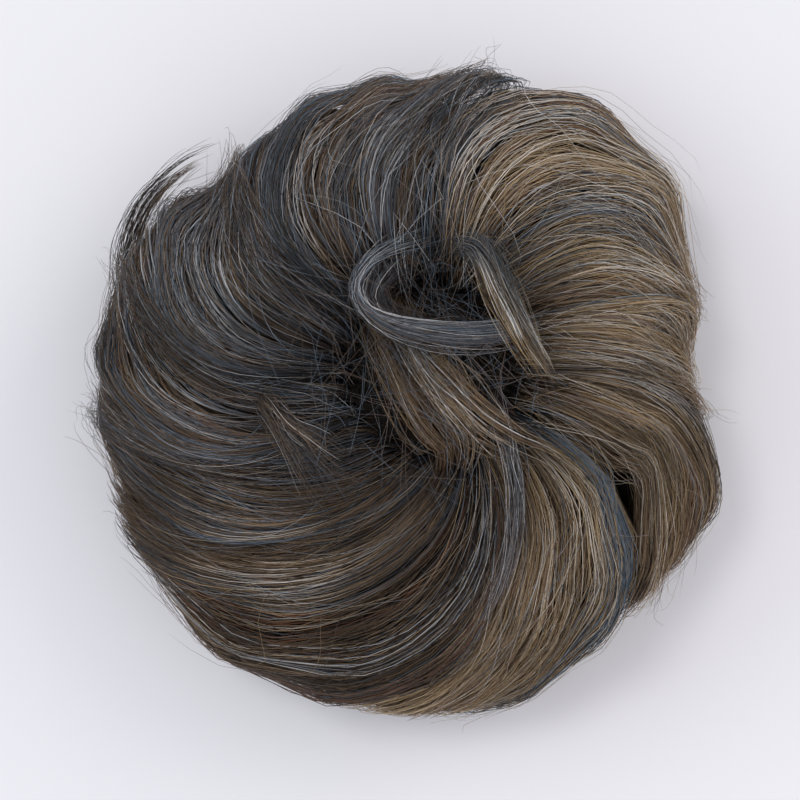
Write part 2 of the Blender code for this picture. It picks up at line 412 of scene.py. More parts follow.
PAINTED_SHADE = PaintedShadeFinish()
BRAIDED = BraidedFinish()
FINISHES = {
    # Blue-black dye, which gives the cool half its grey lights
    Family.SLATE: HairFinish(
        "slate_dyed_fibre", "hair_cool", "161618", "2F3036", "53565D", "798088", "9EA6AE", "5C4436"
    ),
    # Dark brown dye with grey in it, the base of the cool half
    Family.UMBER: HairFinish(
        "umber_dyed_fibre", "hair_cool", "19130F", "34291F", "5B4A3B", "816C56", "A18E75", "4B545E"
    ),
    # Grey-brown dye, the base of the warm half, with reddish fibres here and there
    Family.TAUPE: HairFinish(
        "taupe_dyed_fibre", "hair_warm", "221A13", "4A3B2D", "836E57", "B29C7D", "D3C09B", "6B4530"
    ),
    # Pale blue-grey dye of the highlights, which look almost white where they catch the light
    Family.SILVER: HairFinish(
        "blue_grey_dyed_fibre", "hair_silver", "1D2023", "394148", "606D7A", "8693A3", "A6B2C0", "8F6E50"
    ),
    # Bleached and dyed gold, the warm highlights and the tips
    Family.HONEY: HairFinish(
        "honey_tipped_fibre", "hair_gold", "271C12", "523F2C", "8A7253", "B59B74", "D2BE97", "545A61"
    ),
    # Near black, painted shade for the depth of the middle
    Family.SHADOW: HairFinish(
        "shadow_fibre", "hair_dark", "0D0B0A", "1A1613", "2C2621", "463D35", "6B6056", "55402B"
    ),
}


@dataclass
class Fibres:
    """A batch of fibres with equally many stations, as centrelines in millimetres from the whorl centre."""

    centres: Array
    normals: Array
    radii: Array
    tones: Array
    accents: Array

    def chosen(self, mask: Array) -> Fibres:
        """Keep the fibres that a mask picks."""
        return Fibres(*[getattr(self, f.name)[mask] for f in fields(self)])


@dataclass
class Salon:
    """What all pieces share: the whorl centre in the frame, and the way fibres and bodies become objects."""

    whorl: Vector
    triangles: int = 0

    def fibre_object(self, name: str, batches: list[Fibres], family: Family) -> bpy.types.Object:
        """Make one mesh of closed, tapered three-sided fibres.

        Args:
            name: the piece's name.
            batches: fibres with their radii and tones, each batch with its own number of stations.
            family: the colours.

        Returns:
            The finished piece, riding on the body.
        """
        meshes = [self._tubes(batch) for batch in batches]
        points = np.concatenate([m["points"] for m in meshes])
        offsets = np.cumsum([0] + [len(m["points"]) for m in meshes])
        loops = np.concatenate([m["loops"] + offset for m, offset in zip(meshes, offsets)])
        sizes = np.concatenate([m["sizes"] for m in meshes])
        mesh = bpy.data.meshes.new(name)
        mesh.vertices.add(len(points))
        mesh.vertices.foreach_set("co", (points * MM + np.array(self.whorl)).ravel())
        mesh.loops.add(len(loops))
        mesh.loops.foreach_set("vertex_index", loops)
        mesh.polygons.add(len(sizes))
        mesh.polygons.foreach_set("loop_start", np.cumsum(sizes) - sizes)
        mesh.update(calc_edges=True)
        values = np.concatenate([m["values"] for m in meshes])
        mesh.attributes.new("fibre", "FLOAT_VECTOR", "POINT").data.foreach_set("vector", values.ravel())
        self._map_fibres(mesh, loops, [(len(batch.centres), m["along"]) for batch, m in zip(batches, meshes)])
        return self.place(name, mesh, FINISHES[family])

    @staticmethod
    def _tubes(fibres: Fibres) -> dict[str, Array]:
        """Work out one batch's points, faces and colour values.

        Args:
            fibres: the batch.

        Returns:
            Points, loops, face sizes, values for each point, and the place along a fibre of its points.
        """
        centres = fibres.centres
        count, stations = centres.shape[:2]
        tangents = unit(np.gradient(centres, axis=1))
        sides = unit(np.cross(tangents, fibres.normals))
        ups = np.cross(sides, tangents)
        turns = 2 * math.pi * np.arange(FIBRE_SIDES) / FIBRE_SIDES
        spokes = np.cos(turns)[:, None] * ups[:, 1:-1, None, :]
        spokes = spokes + np.sin(turns)[:, None] * sides[:, 1:-1, None, :]
        rings = centres[:, 1:-1, None, :] + fibres.radii[:, 1:-1, None, None] * spokes
        points = np.concatenate([centres[:, :1], rings.reshape(count, -1, 3), centres[:, -1:]], axis=1)
        per = points.shape[1]
        ring = np.arange(FIBRE_SIDES)
        after = (ring + 1) % FIBRE_SIDES
        first = 1 + FIBRE_SIDES * np.arange(stations - 3)[:, None]
        corners = [first + ring, first + after, first + FIBRE_SIDES + after, first + FIBRE_SIDES + ring]
        quads = np.stack(corners, axis=-1).reshape(-1, 4)
        base = per - 1 - FIBRE_SIDES
        root_tips = np.stack([0 * ring, 1 + after, 1 + ring], axis=-1)
        end_tips = np.stack([0 * ring + per - 1, base + ring, base + after], axis=-1)
        tips = np.concatenate([root_tips, end_tips])
        step = per * np.arange(count)[:, None, None]
        station = np.concatenate([[0], np.repeat(np.arange(1, stations - 1), FIBRE_SIDES), [stations - 1]])
        along = station / (stations - 1)
        values = np.empty((count, per, 3))
        for channel, given in enumerate((fibres.tones, fibres.accents)):
            full = np.broadcast_to(given[:, None] if given.ndim == 1 else given, (count, stations))
            values[..., channel] = np.clip(full, 0, 1)[:, station]
        values[..., 2] = along
        return {
            "points": points.reshape(-1, 3),
            "loops": np.concatenate([(quads[None] + step).ravel(), (tips[None] + step).ravel()]),
            "sizes": np.concatenate([np.full(count * len(quads), 4), np.full(count * len(tips), 3)]),
            "values": values.reshape(-1, 3),
            "along": along,
        }

    @staticmethod
    def _map_fibres(mesh: bpy.types.Mesh, loops: Array, batches: list[tuple[int, Array]]) -> None:
        """Give each fibre a small cell of its own on the baking map.

        Args:
            mesh: the mesh of fibres.
            loops: the vertex of each face corner.
            batches: how many fibres each batch has, and the place along a fibre of each of its points.
        """
        total = sum(count for count, _ in batches)
        columns = math.ceil(math.sqrt(total))
        rows = math.ceil(total / columns)
        places, before = [], 0
        for count, along in batches:
            number = before + np.arange(count)
            before += count
            around = np.concatenate([[0.5], np.tile([0.1, 0.5, 0.9], (len(along) - 2) // FIBRE_SIDES), [0.5]])
            u = ((number % columns)[:, None] + 0.15 + 0.7 * around) / columns
            v = ((number // columns)[:, None] + 0.05 + 0.9 * along) / rows
            places.append(np.stack([u, v], axis=-1).reshape(-1, 2))
        mesh.uv_layers.new(name="OFBake").data.foreach_set("uv", np.concatenate(places)[loops].ravel())

    def place(self, name: str, mesh: bpy.types.Mesh, finish: Finish) -> bpy.types.Object:
        """Link a finished mesh as a piece that rides on the body.

        Args:
            name: the piece's name.
            mesh: its mesh, in place.
            finish: what it is made of.

        Returns:
            The piece.
        """
        mesh.shade_smooth()
        mesh.materials.append(finish.material())
        piece = bpy.data.objects.new(name, mesh)
        bpy.context.scene.collection.objects.link(piece)
        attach(piece, BODY)
        made = sum(len(face.vertices) - 2 for face in mesh.polygons)
        self.triangles += made
        log.info("%s: %d triangles", name, made)
        return piece


def section(p: Array, crest: Array, rim: Array) -> tuple[Array, Array, Array, Array]:
    """Read a curl's section.

    Args:
        p: the place along it, from 0 at the inner lip to 1 under the rim, and below 0 down the hollow's wall.
        crest: the crest's height.
        rim: the rim's radius.

    Returns:
        Radius, height, and the outward normal's radial and upward parts.
    """
    down = np.clip((AT_CREST - p) / AT_CREST, 0, 1) * math.pi / 2
    out = np.clip((p - AT_CREST) / (AT_RIM - AT_CREST), 0, 1) * math.pi / 2
    under = np.clip((p - AT_RIM) / (1 - AT_RIM), 0, 1) * math.pi / 2
    reach, rise = CREST_RADIUS - INNER_RADIUS, crest - LIP_HEIGHT
    width, fall = rim - CREST_RADIUS, crest - RIM_HEIGHT
    inner = (
        CREST_RADIUS - reach * np.sin(down) + np.minimum(p, 0) * ROOT_REACH,
        LIP_HEIGHT + rise * np.cos(down) + np.minimum(p, 0) * ROOT_FALL,
        -np.sin(down) / reach,
        np.cos(down) / rise,
    )
    outer = (
        CREST_RADIUS + width * np.sin(out),
        RIM_HEIGHT + fall * np.cos(out),
        np.sin(out) / width,
        np.cos(out) / fall,
    )
    below = (
        rim - UNDERTURN * (1 - np.cos(under)),
        RIM_HEIGHT * (1 - np.sin(under)),
        np.cos(under) / UNDERTURN,
        -np.sin(under) / RIM_HEIGHT,
    )
    radius, height, n_out, n_up = (
        np.where(p < AT_CREST, a, np.where(p < AT_RIM, b, c)) for a, b, c in zip(inner, outer, below)
    )
    size = np.hypot(n_out, n_up)
    return radius, height, n_out / size, n_up / size


@dataclass(frozen=True)
class Seam:
    """The direction of a seam between two curls, in degrees at three radii.

    hollow is how wide the seam opens, in millimetres, of which the two edges take the tail and raised shares.
    """

    inner: float
    middle: float
    rim: float
    hollow: float = 0.0
    tail_share: float = 0.65
    raised_share: float = 0.3

    def angle(self, radius: Array, side: int = 0) -> Array:
        """The seam's direction at a radius.

        Args:
            radius: how far out.
            side: 1 for the edge on the anticlockwise side of the seam's hollow, -1 for the other edge.

        Returns:
            Degrees.
        """
        middle = parabola(radius, SEAM_RADII, (self.inner, self.middle, self.rim))
        if not self.hollow or not side:
            return middle
        share = self.tail_share if side > 0 else self.raised_share
        half = self.hollow * share * np.exp(-(((radius - HOLLOW_RADIUS) / HOLLOW_SPREAD) ** 2))
        return middle + side * np.degrees(half / np.maximum(radius, INNER_RADIUS))


EAST = Seam(1, -1, -7)
NORTH_EAST = Seam(30, 21, 16)
NORTH = Seam(86, 88, 80)
NORTH_WEST = Seam(139, 141, 127)
WEST = Seam(176, 178, 166)
SOUTH_WEST = Seam(205, 204, 194)
SOUTH = Seam(252, 233, 216)
SOUTH_EAST = Seam(303, 291, 275)
EAST_SOUTH_EAST = Seam(337, 333, 316, 9)
EAST_AGAIN = Seam(361, 359, 353)


@dataclass
class Curl:
    """One fan of hair over one curl of the frame.

    The flow of the fan is told by a few numbers. gather is how far the tips run together at the tail of the
    rim, tuck how many degrees high wisps go on under the next curl, wrap how many degrees rim wisps go on
    round it, twist how many degrees the roots start from the side, late how late an inner wisp turns, and
    levels how low on the rim the wisps at the raised seam and at the tail seam end. families are the dyes
    and shares their summed percentages. edge_dye is how much of the fan the last dye also colours at its
    raised edge, and shade_to how many millimetres the shade of the middle reaches out.
    """

    node: str
    raised: Seam
    tail: Seam
    rims: tuple[float, float, float]
    folds: int
    families: tuple[Family, ...]
    wisps: int
    seed: int
    gather: float = 0.8
    tuck: float = 6.0
    wrap: float = 20.0
    twist: float = 0.0
    late: float = 0.85
    levels: tuple[float, float] = (1.0, 0.35)
    tone: float = 0.5
    accent: float = 0.2
    shares: tuple[int, ...] = (68, 100)
    edge_dye: float = 0.0
    shade_to: float = 17.0
    flyaways: int = 18
    veil: int = 200
    drop: float = TAIL_DROP
    fibres: int = 19
    height: float = field(init=False)
    following: Curl | None = field(init=False, default=None)

    def __post_init__(self) -> None:
        """Take the crest's height from the frame."""
        self.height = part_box(self.node)[1].z / MM

    def across(self, angle: Array, radius: Array) -> Array:
        """Where a direction lies between the raised seam, at 0, and the tail seam, at 1."""
        first, last = self.raised.angle(radius, -1), self.tail.angle(radius, 1)
        return (first - angle) / (first - last)

    def shape(self, s: Array) -> tuple[Array, Array]:
        """Read the curl's size at a place across it.

        Args:
            s: 0 at the raised seam and 1 at the tail seam.

        Returns:
            The crest's height and the rim's radius.
        """
        inside = np.clip(s, 0, 1)
        fold = FOLD_HEIGHT * np.cos(2 * math.pi * self.folds * inside) * np.sin(math.pi * inside)
        drop = EDGE_DROP * (1 - inside) ** 6 + self.drop * np.clip(s, 0, 1.35) ** 2
        return self.height - drop + fold, parabola(inside, (0, 0.5, 1), self.rims) - drop / 6 + fold

    def surface(self, angle: Array, p: Array, lift: Array, over: Array | float = 0.0) -> tuple[Array, Array]:
        """Places on the curl, and beyond its tail seam, in millimetres from the whorl centre.

        Args:
            angle: the direction in degrees.
            p: the place along the section.
            lift: how far outside the surface.
            over: 1 for hair that goes on over the next curl, 0 for hair that dives under it.

        Returns:
            The points and the outward normals.
        """
        crest, rim = self.shape(np.full(np.shape(p), 0.5))
        radius = section(p, crest, rim)[0]
        turn_on = 360 * round((self.following.raised.inner - self.tail.inner) / 360)
        for _ in range(2):
            s = self.across(angle, radius)
            crest, rim = self.shape(s)
            next_crest, next_rim = self.following.shape(self.following.across(angle + turn_on, radius))
            share = over * smooth_step((s - 0.7) / 0.35)
            crest, rim = crest + (next_crest - crest) * share, rim + (next_rim - rim) * share
            radius, height, n_out, n_up = section(p, crest, rim)
        turn = np.radians(angle)
        c, s = np.cos(turn), np.sin(turn)
        reach = radius + lift * n_out
        points = np.stack([reach * c, reach * s, height + lift * n_up], axis=-1)
        return points, np.stack([n_out * c, n_out * s, n_up], axis=-1)

    def flow(self, s: Array, level: Array, t: Array, root: Array, beyond: Array) -> tuple[Array, Array]:
        """The path of a fibre over the curl.

        Args:
            s: where it starts between the seams.
            level: 0 for one that stays high on the curl, 1 for one that ends low on the rim.
            t: the place along it.
            root: where on the section it starts, below 0 for one that rises out of the hollow.
            beyond: how many degrees it goes on past the tail seam.

        Returns:
            The direction in degrees and the place along the section.
        """
        end = 0.42 + 0.52 * level
        p = root + (end - root) * (1 - (1 - t) ** (1.45 - 0.2 * s))
        crest, rim = self.shape(s)
        radius = section(p, crest, rim)[0]
        first, last = self.raised.angle(radius, -1), self.tail.angle(radius, 1)
        raised_rim, tail_rim = self.raised.angle(SEAM_RADII[2]), self.tail.angle(SEAM_RADII[2])
        goal = tail_rim + (1 - self.gather) * (raised_rim - tail_rim) * (1 - s) - beyond
        start = raised_rim + (tail_rim - raised_rim) * s
        late = 2.4 + (self.late - 2.4) * smooth_step(s / 0.3)
        sweep = (0.5 - 0.5 * np.cos(math.pi * t)) ** late
        angle = first + (last - first) * s + (goal - start) * sweep + self.twist * (1 - t) ** 4
        return angle, p

    def grow(self, rng: np.random.Generator, wisps: int, stations: int, edge: bool) -> tuple[Fibres, Array]:
        """Grow part of the fan: wisps side by side and in layers, each of many near-parallel fibres.

        Args:
            rng: the source of chance.
            wisps: how many wisps.
            stations: how many points along each fibre.
            edge: whether they make the raised edge and the top layer, or the mass under it.

        Returns:
            The fibres, and for each a number below 100 that shares the fibres out among the dyes.
        """
        each = self.fibres
        order = (rng.permutation(wisps) + rng.uniform(0.0, 1.0, wisps)) / wisps
        s_mid = 1.05 * order ** (1.5 if edge else 1.1) - 0.02
        first, last = self.levels
        level_mid = first + (last - first) * smooth_step(s_mid / 0.8) + rng.normal(0, 0.12, wisps)
        low = (rng.random(wisps) < LOW_SHARE) & (not edge)
        level_mid = np.clip(np.where(low, rng.uniform(0.8, 1.02, wisps), level_mid), 0.02, 1.02)
        over = smooth_step((level_mid - 0.5) / 0.3)
        beyond = self.tuck + (self.wrap - self.tuck) * over * rng.uniform(0.3, 1.0, wisps)
        depth = np.where(low, rng.uniform(*LOW_LAYER, wisps), rng.uniform(*MASS_LAYER, wisps))
        depth = rng.uniform(*EDGE_LAYER, wisps) if edge else depth
        depth = depth - TAIL_DIVE * smooth_step((s_mid - 0.7) / 0.3)
        half = rng.uniform(0.018, 0.055, wisps)
        swing = rng.normal(0, 0.035, wisps)
        root_mid = rng.uniform(-0.3, 0.06, wisps)
        family = rng.permutation(wisps) * 100 // wisps
        dyed = (s_mid < self.edge_dye) & (rng.random(wisps) < EDGE_SHARE)
        family = np.where(dyed, 99, family)
        # Painted shade: the mass under the top layer and wisps near the tail seam are darker, the top layer
        # lighter
        shade = (0.03 if edge else -0.09) - 0.1 * smooth_step((s_mid - 0.7) / 0.3)
        # Wisps in the edge's dye are a darker tone of that dye, their own colour
        shade = shade - 0.1 * dyed
        tone_mid = np.clip(self.tone + shade + rng.normal(0, WISP_TONES, wisps), 0.08, 0.74)
        accent_mid = np.where(rng.random(wisps) < self.accent, rng.uniform(0.4, 1.0, wisps), 0.0)
        phase = rng.uniform(0, 2 * math.pi, (wisps, 2))
        sheen = rng.uniform(0.0, SHEEN, wisps)
        pace = self.pace(s_mid, level_mid, root_mid, beyond, over, stations)

        which = np.repeat(np.arange(wisps), each)
        total = wisps * each
        a = np.sqrt(rng.random(total)) * rng.choice([-1, 1], total) * 0.98
        b = rng.uniform(-1, 1, total) * np.sqrt(1 - a * a)
        t = pace[which]
        pinch = 0.5 + 0.5 * np.sin(math.pi * np.clip(t * 0.85 + 0.12, 0, 1)) ** 0.8
        spread = 1.0 + 0.35 * rng.normal(0, 1, total)[:, None] * t
        s = s_mid[which][:, None] + (a * half[which])[:, None] * pinch * spread
        s = s + swing[which][:, None] * (t - 0.3)
        level = np.clip(level_mid[which] - a * half[which] * 1.5 + rng.normal(0, 0.04, total), 0.0, 1.05)
        root = root_mid[which] + rng.normal(0, 0.03, total)
        ends = beyond[which] + rng.normal(0, 2.8, total)
        angle, p = self.flow(s, level[:, None], t, root[:, None], ends[:, None])
        wave = 0.8 * np.sin(2 * math.pi * 0.8 * t + phase[which, :1])
        wave = wave + 0.35 * np.sin(2 * math.pi * 1.3 * t + phase[which, 1:])
        own = rng.uniform(0, 2 * math.pi, (total, 3))
        free = rng.random(total) < FREE_SHARE
        loose = np.where(free, rng.uniform(2, 6, total), rng.uniform(0.8, 1.8, total))[:, None]
        jitter = 0.22 * loose * np.sin(2 * math.pi * 0.8 * t + own[:, :1])
        jitter = jitter + 0.1 * np.sin(2 * math.pi * 1.2 * t + own[:, 1:2])
        angle = angle + np.degrees((wave + jitter) / 58.0)
        hump = 1.2 * (1 - a * a)
        lift = (depth[which] + 0.9 * b + hump)[:, None]
        lift = lift + 0.15 * loose * np.sin(2 * math.pi * 1.1 * t + own[:, 2:])
        lift = lift + np.where(free, rng.uniform(0.2, 1.1, total), 0.0)[:, None] * smooth_step(t / 0.25)
        crown = (1 - smooth_step(s / 0.12)) * (1 - smooth_step((p - 0.5) / 0.2))
        lift = lift + CROWN_LIFT * crown * smooth_step((p + 0.05) / 0.2)
        centres, normals = self.surface(angle, p, lift, over[which][:, None])
        centres[..., 2] = np.maximum(centres[..., 2], FLOOR_GAP)
        taper = 0.4 + 0.6 * np.sin(math.pi * np.clip(t, 0.02, 0.98)) ** 0.5
        size = np.where(free, FINE_RADIUS, FIBRE_RADIUS) * rng.uniform(0.8, 1.2, total)
        radii = size[:, None] * taper
        # Painted shade: fibres low in a wisp are darker than those on top
        tones = tone_mid[which] + rng.normal(0, FIBRE_TONES, total) + 0.06 * b + np.where(free, 0.06, 0.0)
        reach = np.hypot(centres[..., 0], centres[..., 1])
        tones = tones[:, None] + 0.04 * np.sin(2 * math.pi * 1.1 * t + own[:, 1:2])
        tones = tones + 0.1 * np.sin(2 * math.pi * 1.2 * t + 3 * phase[which, :1]) - 0.04
        # Painted highlight: a band of lighter tone over the crest
        tones = tones + sheen[which][:, None] * np.exp(-(((p - SHEEN_PLACE) / SHEEN_WIDTH) ** 2))
        # Painted shade: darker towards the middle of the whorl
        tones = tones - MIDDLE_SHADE * (1 - smooth_step((reach - INNER_RADIUS) / self.shade_to))
        tones = np.minimum(tones, TONE_LIMIT)
        accents = np.where(rng.random(total) < 0.8, accent_mid[which], 0.0)
        mixed = rng.random(total) < MIXED_SHARE
        keys = np.where(mixed, rng.integers(0, 100, total), family[which])
        return Fibres(centres, normals, radii, tones, accents), keys

    def pace(self, s: Array, level: Array, root: Array, beyond: Array, over: Array, stations: int) -> Array:
        """Space the stations of each wisp more closely where its path bends.

        Args:
            s, level, root, beyond, over: the wisps' own numbers.
            stations: how many places.

        Returns:
            The places from 0 to 1, one row for each wisp.
        """
        dense = np.linspace(0, 1, 60)
        rows = [value[:, None] for value in (s, level, root, beyond)]
        angle, p = self.flow(rows[0], rows[1], dense[None], rows[2], rows[3])
        path = self.surface(angle, p, 0.0 * p, over[:, None])[0]
        speed = np.linalg.norm(np.gradient(path, axis=1), axis=-1)
        bend = np.linalg.norm(np.gradient(unit(np.gradient(path, axis=1)), axis=1), axis=-1)
        effort = np.cumsum(np.sqrt(speed * np.maximum(bend, 0.012 * speed)), axis=1)
        effort = (effort - effort[:, :1]) / (effort[:, -1:] - effort[:, :1])
        even = np.linspace(0, 1, stations)
        return np.stack([np.interp(even, row, dense) for row in effort])

    def stray(self, rng: np.random.Generator, total: int, away: float) -> Fibres:
        """Grow single hairs that cross over the fan, a little above it.

        Args:
            rng: the source of chance.
            total: how many.
            away: how far their tips may stand off, in millimetres.

        Returns:
            The hairs.
        """
        off = away >= NEAR_AWAY
        t = np.linspace(0, 1, 12 if off else 11)[None]
        drift = rng.normal(0, 0.1, total) if off else rng.normal(0, 0.1, total) * rng.choice([1, 4], total)
        s = rng.uniform(0.0 if off else -0.1, 1.0, total)[:, None] + drift[:, None] * t
        begin = rng.uniform(0.3, 0.65, total) if off else rng.uniform(0, 0.6, total)
        stretch = begin[:, None] + rng.uniform(0.2, 0.5, total)[:, None] * t
        level = rng.uniform(0.45 if off else 0.1, 0.9, total)[:, None]
        root, ends = np.full((total, 1), -0.1), np.full((total, 1), self.tuck)
        angle, p = self.flow(s, level, np.minimum(stretch, 1.0), root, ends)
        own, beat = rng.uniform(0, 2 * math.pi, (total, 1)), rng.uniform(0.4, 1.0, (total, 1))
        curve = rng.uniform(0.3, 1.6, total)[:, None] * np.sin(2 * math.pi * beat * t + own)
        arch = rng.uniform(0, 1.2, total) * rng.choice([1, 2], total)
        lift = rng.uniform(0.2, 0.9, total)[:, None] + arch[:, None] * np.sin(math.pi * t)
        lift = lift + (away * rng.random(total) ** 1.5)[:, None] * t**1.8
        centres, normals = self.surface(angle + np.degrees(curve / 55), p, lift, 1.0)
        centres[..., 2] = np.maximum(centres[..., 2], 1.0)
        taper = 0.5 + 0.5 * np.sin(math.pi * np.clip(t, 0.02, 0.98))
        radii = FINE_RADIUS * rng.uniform(0.55, 0.9, total)[:, None] * taper
        tones = self.tone + (rng.uniform(-0.3, 0.2, total) if off else rng.uniform(-0.1, 0.35, total))
        return Fibres(centres, normals, radii, tones, np.where(rng.random(total) < 0.3, 0.6, 0.0))

    def build(self, salon: Salon) -> None:
        """Make the curl's inner body and its fibres, one piece for each dye.

        Args:
            salon: what all pieces share.
        """
        rng = np.random.default_rng(self.seed)
        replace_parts(self.inner_body(salon), self.node)
        mass = round(self.wisps * MASS_SHARE)
        under = self.grow(rng, mass, MASS_STATIONS, False)
        parts = [under, self.grow(rng, self.wisps - mass, EDGE_STATIONS, True)]
        shares = (0, *self.shares)
        for number, kind in enumerate(self.families):
            batches = [f.chosen((key >= shares[number]) & (key < shares[number + 1])) for f, key in parts]
            if number == 0:
                batches.append(self.stray(rng, 2 * self.flyaways, NEAR_AWAY))
                batches.append(self.stray(rng, self.flyaways, FAR_AWAY))
            batches.append(self.stray(rng, self.veil // len(self.families), VEIL_AWAY))
            piece = salon.fibre_object(f"{self.node}_{kind.value}_hair", batches, kind)
            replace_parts(piece, self.node)

    def inner_body(self, salon: Salon) -> bpy.types.Object:
        """Loft the body under the fibres along their flow, closed at both seams, dark with painted shade.

        Args:
            salon: what all pieces share.

        Returns:
            The body.
        """
        columns, ring = 20, 46
        # The loop's way back under the curl, as radius and height: the rest face, then the hollow's wall
        foot = ((46.0, FLOOR_GAP), (31.0, FLOOR_GAP), (29.6, 11.4), (24.3, 14.0))
        t = np.linspace(0, 1, ring - len(foot))
        full = np.ones(len(t))
        shape = bmesh.new()
        previous = None
        for j in range(columns + 1):
            # Across from just inside one seam to just inside the other, along from inside the lip to the foot
            s, p = (0.02 + 0.97 * j / columns) * full, -0.08 + 1.08 * t
            radius = section(p, *self.shape(s))[0]
            angle = self.raised.angle(radius, -1) * (1 - s) + self.tail.angle(radius, 1) * s
            top = self.surface(angle, p, (-BODY_DEPTH - SEAM_DEPTH * float(j == 0)) * full)[0]
            inward = np.radians(np.linspace(angle[-1], angle[0], len(foot) + 1)[1:])
            base = [(r * math.cos(a), r * math.sin(a), z) for (r, z), a in zip(foot, inward)]
            spots = np.vstack([top, base])
            spots[:, 2] = np.maximum(spots[:, 2], FLOOR_GAP)
            spots = spots * MM + np.array(salon.whorl)
            if previous is None:
                verts = [shape.verts.new(q) for q in spots]
                previous = [shape.edges.new((verts[k], verts[(k + 1) % ring])) for k in range(ring)]
                first = list(previous)
            else:
                made = bmesh.ops.extrude_edge_only(shape, edges=previous)["geom"]
                fresh = [g for g in made if isinstance(g, bmesh.types.BMVert)]
                edges = [g for g in made if isinstance(g, bmesh.types.BMEdge)]
                previous = [edge for edge in edges if all(v in fresh for v in edge.verts)]
                for vert, q in zip(fresh, spots):
                    vert.co = q
        bmesh.ops.contextual_create(shape, geom=first)
        bmesh.ops.contextual_create(shape, geom=previous)
        bmesh.ops.recalc_face_normals(shape, faces=shape.faces)
        mesh = meshed(shape, self.node + "_inner_body")
        # The map that the streaks lie on: about 50 mm across the flow and 100 along it
        weft = np.zeros((columns + 1, ring, 3))
        weft[..., 0] = np.linspace(0, 50, columns + 1)[:, None]
        weft[..., 1] = np.linspace(0, 100, ring)[None]
        mesh.attributes.new("weft", "FLOAT_VECTOR", "POINT").data.foreach_set("vector", weft.ravel())
        return salon.place(self.node + "_inner_body", mesh, PAINTED_SHADE)


def curls() -> list[Curl]:
    """List the nine curls, anticlockwise from the right, each with its own flow and dyes.

    Returns:
        The curls, each knowing the one that its tail runs into.
    """
    slate, umber, taupe, honey, silver = Family.SLATE, Family.UMBER, Family.TAUPE, Family.HONEY, Family.SILVER
    cool, warm = (umber, slate, silver), (taupe, honey, slate)
    # The curls' tones run darker on the left and lower left and lighter on the right: partly the dyes, partly
    # painted shade over the left half and painted light over the right half
    made = [
        Curl("curl_right", NORTH_EAST, EAST, (65, 63, 61.5), 1, warm, 38, 11, 0.6, wrap=5, levels=(0.9, 0.5),
             tone=0.63, shares=(62, 94, 100), flyaways=12),
        Curl("curl_top_right", NORTH, NORTH_EAST, (73.5, 74, 65.5), 3, warm, 58, 12, 0.88, twist=-8,
             tone=0.655, shares=(58, 86, 100), edge_dye=0.07, flyaways=34),
        Curl("curl_top_left", NORTH_WEST, NORTH, (68.5, 71, 64.5), 3, cool, 48, 13, 0.8, wrap=13,
             tone=0.59, shares=(48, 80, 100), shade_to=20, flyaways=30),
        Curl("curl_left_upper", WEST, NORTH_WEST, (78, 73.5, 65.5), 2, cool, 46, 14, 0.75, tuck=3, wrap=17,
             twist=8, late=0.7, levels=(0.7, 0.3), tone=0.52, shares=(54, 83, 100), shade_to=30, flyaways=44),
        Curl("curl_left_lower", SOUTH_WEST, WEST, (81, 80.5, 79), 2, cool, 44, 15, 0.85, wrap=22, twist=10,
             late=0.55, levels=(0.95, 0.4), tone=0.49, shares=(60, 86, 100), shade_to=42, flyaways=40),
        Curl("curl_lower_left", SOUTH, SOUTH_WEST, (81.5, 80.5, 79.5), 1, cool, 48, 16, 0.7, tuck=10,
             twist=16, late=0.5, levels=(0.7, 0.1), tone=0.46, shares=(66, 93, 100), shade_to=28,
             flyaways=26),
        Curl("curl_bottom", SOUTH_EAST, SOUTH, (81, 83.5, 84.5), 3, (umber, taupe, slate), 60, 17, 0.85,
             tuck=12, wrap=28, late=0.75, levels=(1.0, 0.05), tone=0.47, shares=(62, 86, 100)),
        Curl("curl_lower_right", EAST_SOUTH_EAST, SOUTH_EAST, (73, 78.5, 84), 3, (taupe, honey, silver),
             50, 18, 0.93, twist=-12, levels=(1.0, 0.45), tone=0.53, shares=(62, 97, 100), edge_dye=0.05,
             flyaways=12),
        Curl("curl_lower_right_outer", EAST_AGAIN, EAST_SOUTH_EAST, (62.5, 73, 73), 2, (taupe, umber, honey),
             40, 19, 0.9, wrap=6, late=2.2, levels=(1.0, 0.7), tone=0.54, shares=(50, 74, 100), flyaways=20,
             drop=3.5),
    ]
    for number, curl in enumerate(made):
        curl.following = made[number - 1]
    return made


